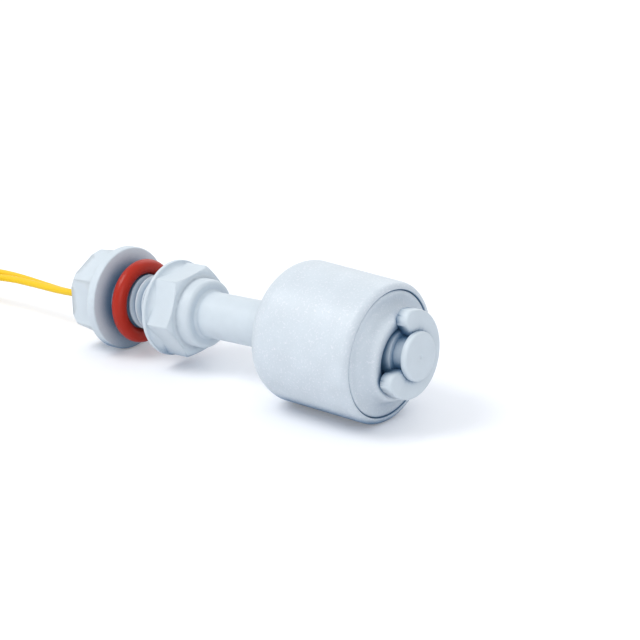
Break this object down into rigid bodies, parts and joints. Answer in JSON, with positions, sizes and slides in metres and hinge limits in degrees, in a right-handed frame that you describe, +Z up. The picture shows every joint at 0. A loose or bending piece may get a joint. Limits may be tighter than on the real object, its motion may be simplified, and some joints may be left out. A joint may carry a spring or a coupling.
{
  "type": "float level switch",
  "caption": "Small plastic float switch: a threaded stem with sealing ring and lock nut, a float sliding against a snap clip, and wires held in a tied coil.",
  "frame": {"origin": "on the surface that the switch lies on, under the middle of its length without the wires", "axes": "+Z up from the surface, +X along the float's axis from the wires towards the float's clip; the stem leans up by 3.21 degrees towards +X in the XZ plane"},
  "size_m": [0.1325, 0.0326, 0.0238],
  "materials": {
    "stem_plastic": "satin moulded polypropylene",
    "nut_plastic": "satin moulded polypropylene",
    "clip_plastic": "satin moulded polypropylene",
    "float_plastic": "fine-grained moulded polypropylene",
    "seal_rubber": "smooth red silicone",
    "magnet": "dull sintered ferrite",
    "reed_glass": "clear drawn glass",
    "reed_metal": "plated nickel-iron",
    "solder": "dull tin solder",
    "sleeve": "heat-shrunk sleeve",
    "potting": "cast epoxy",
    "wire_jacket": "yellow PVC insulation",
    "wire_core": "tinned copper strands",
    "tie_plastic": "natural nylon"
  },
  "bodies": {
    "stem": {"stem_body": "stem_plastic", "retaining_clip": "clip_plastic", "reed_glass": "reed_glass", "reed_blade_near": "reed_metal", "reed_blade_far": "reed_metal", "solder_joint_near": "solder", "solder_joint_far": "solder", "shrink_sleeve_near": "sleeve", "shrink_sleeve_far": "sleeve", "potting_plug": "potting", "lead_a_inner": "wire_jacket", "lead_b_inner": "wire_jacket", "lead_a_run": "wire_jacket", "lead_b_run": "wire_jacket", "lead_coil": "wire_jacket", "coil_tie": "tie_plastic", "lead_a_tail": "wire_jacket", "lead_b_tail": "wire_jacket", "lead_a_tip": "wire_core", "lead_b_tip": "wire_core"},
    "float": {"float_shell": "float_plastic", "float_end_cap": "float_plastic", "ring_magnet": "magnet"},
    "seal": {"sealing_ring": "seal_rubber"},
    "nut": {"lock_nut": "nut_plastic"}
  },
  "joints": [
    {"name": "float_slide", "type": "slide", "parent": "stem", "child": "float", "axis": [-0.9984, 0, -0.056], "range_m": [0, 0.016]},
    {"name": "nut_travel", "type": "slide", "parent": "stem", "child": "seal", "axis": [0.9984, 0, 0.056], "range_m": [-0.008, 0.0061]},
    {"name": "nut_spin", "type": "hinge", "parent": "seal", "child": "nut", "pos_m": [-0.0314, 0, 0.00896], "axis": [0.9984, 0, 0.056], "range_deg": [-1920.01, 1464.01]}
  ],
  "couplings": [
    {"joint": "nut_spin", "follows": "nut_travel", "rad_per_m": 4188.8}
  ]
}
